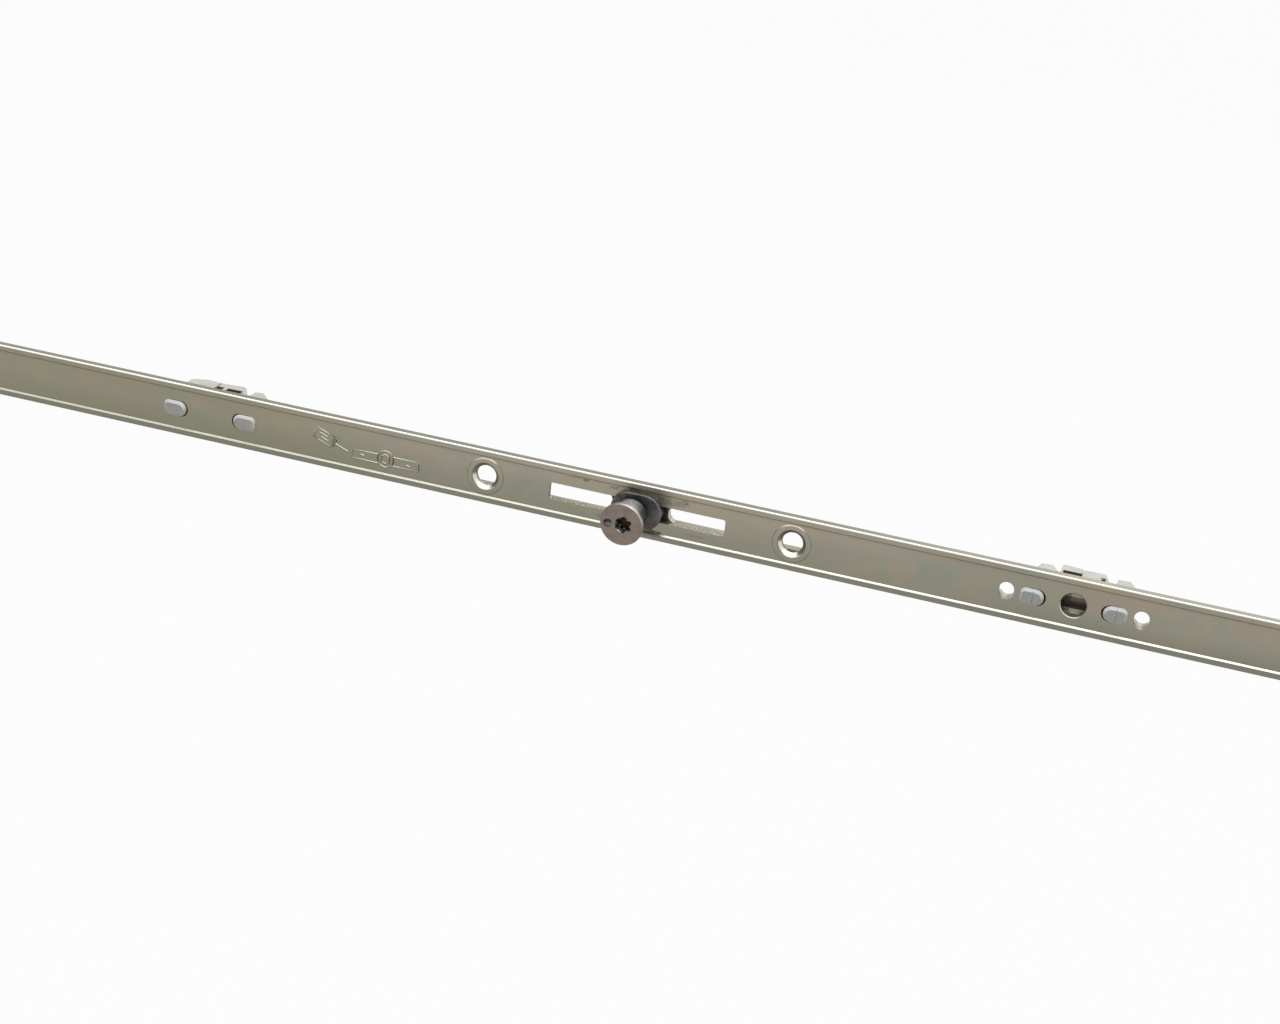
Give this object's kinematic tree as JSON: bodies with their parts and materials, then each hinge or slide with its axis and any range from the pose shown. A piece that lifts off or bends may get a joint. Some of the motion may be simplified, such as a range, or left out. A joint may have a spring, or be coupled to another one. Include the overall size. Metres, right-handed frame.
{
  "type": "window espagnolette",
  "caption": "Narrow steel window espagnolette: recessed faceplate, sliding drive rod with an eccentric mushroom locking cam, plastic guide clips and a spindle-driven gearbox.",
  "frame": {"origin": "midway between the two faceplate screws beside the locking cam, on the faceplate's back plane", "axes": "+X along the rail away from the gearbox, -Y out of the faceplate's front towards the window frame, +Z across the faceplate's width"},
  "size_m": [0.714, 0.0424, 0.016],
  "materials": {
    "passivated_steel": "satin yellow-green zinc passivate",
    "rod_steel": "satin zinc passivate",
    "dark_collar": "dark satin, lightly oiled",
    "cam_steel": "satin, brownish",
    "roller_zinc": "bluish zinc, semi-gloss",
    "clip_plastic": "pale grey moulded plastic",
    "case_zinc": "die-cast, satin",
    "rivet_steel": "satin",
    "follower_zinc": "satin",
    "bush_plastic": "dark moulded plastic",
    "bush_brass": "satin"
  },
  "bodies": {
    "faceplate_unit": {"faceplate": "passivated_steel", "left_guide_clip": "clip_plastic", "right_guide_clip": "clip_plastic", "end_guide_clip": "clip_plastic", "gearbox_case_upper": "case_zinc", "gearbox_case_lower": "case_zinc", "case_rivets": "rivet_steel", "gearbox_posts": "rivet_steel", "follower_bush_upper": "bush_plastic", "follower_bush_lower": "bush_plastic", "handle_screw_bushes": "bush_brass"},
    "rod_unit": {"drive_rod": "rod_steel", "cam_collar": "dark_collar", "left_end_coupling": "case_zinc", "right_end_coupling": "case_zinc", "coupling_rivets": "rivet_steel"},
    "locking_cam": {"cam_pin": "cam_steel", "cam_washer": "rod_steel"},
    "roller": {"cam_roller": "roller_zinc"},
    "follower": {"follower": "follower_zinc"}
  },
  "joints": [
    {"name": "follower_turn", "type": "hinge", "parent": "faceplate_unit", "child": "follower", "pos_m": [-0.28, 0.0131, 0], "axis": [0, 0, 1], "range_deg": [-90, 90]},
    {"name": "rod_slide", "type": "slide", "parent": "faceplate_unit", "child": "rod_unit", "axis": [1, 0, 0], "range_m": [-0.018, 0.018]},
    {"name": "cam_turn", "type": "hinge", "parent": "rod_unit", "child": "locking_cam", "pos_m": [0.00035, 0, 0], "axis": [0, -1, 0], "continuous": true},
    {"name": "roller_spin", "type": "hinge", "parent": "locking_cam", "child": "roller", "pos_m": [-0.00025, 0, 0], "axis": [0, -1, 0], "continuous": true}
  ],
  "couplings": [
    {"joint": "follower_turn", "follows": "rod_slide", "rad_per_m": 87.266}
  ]
}
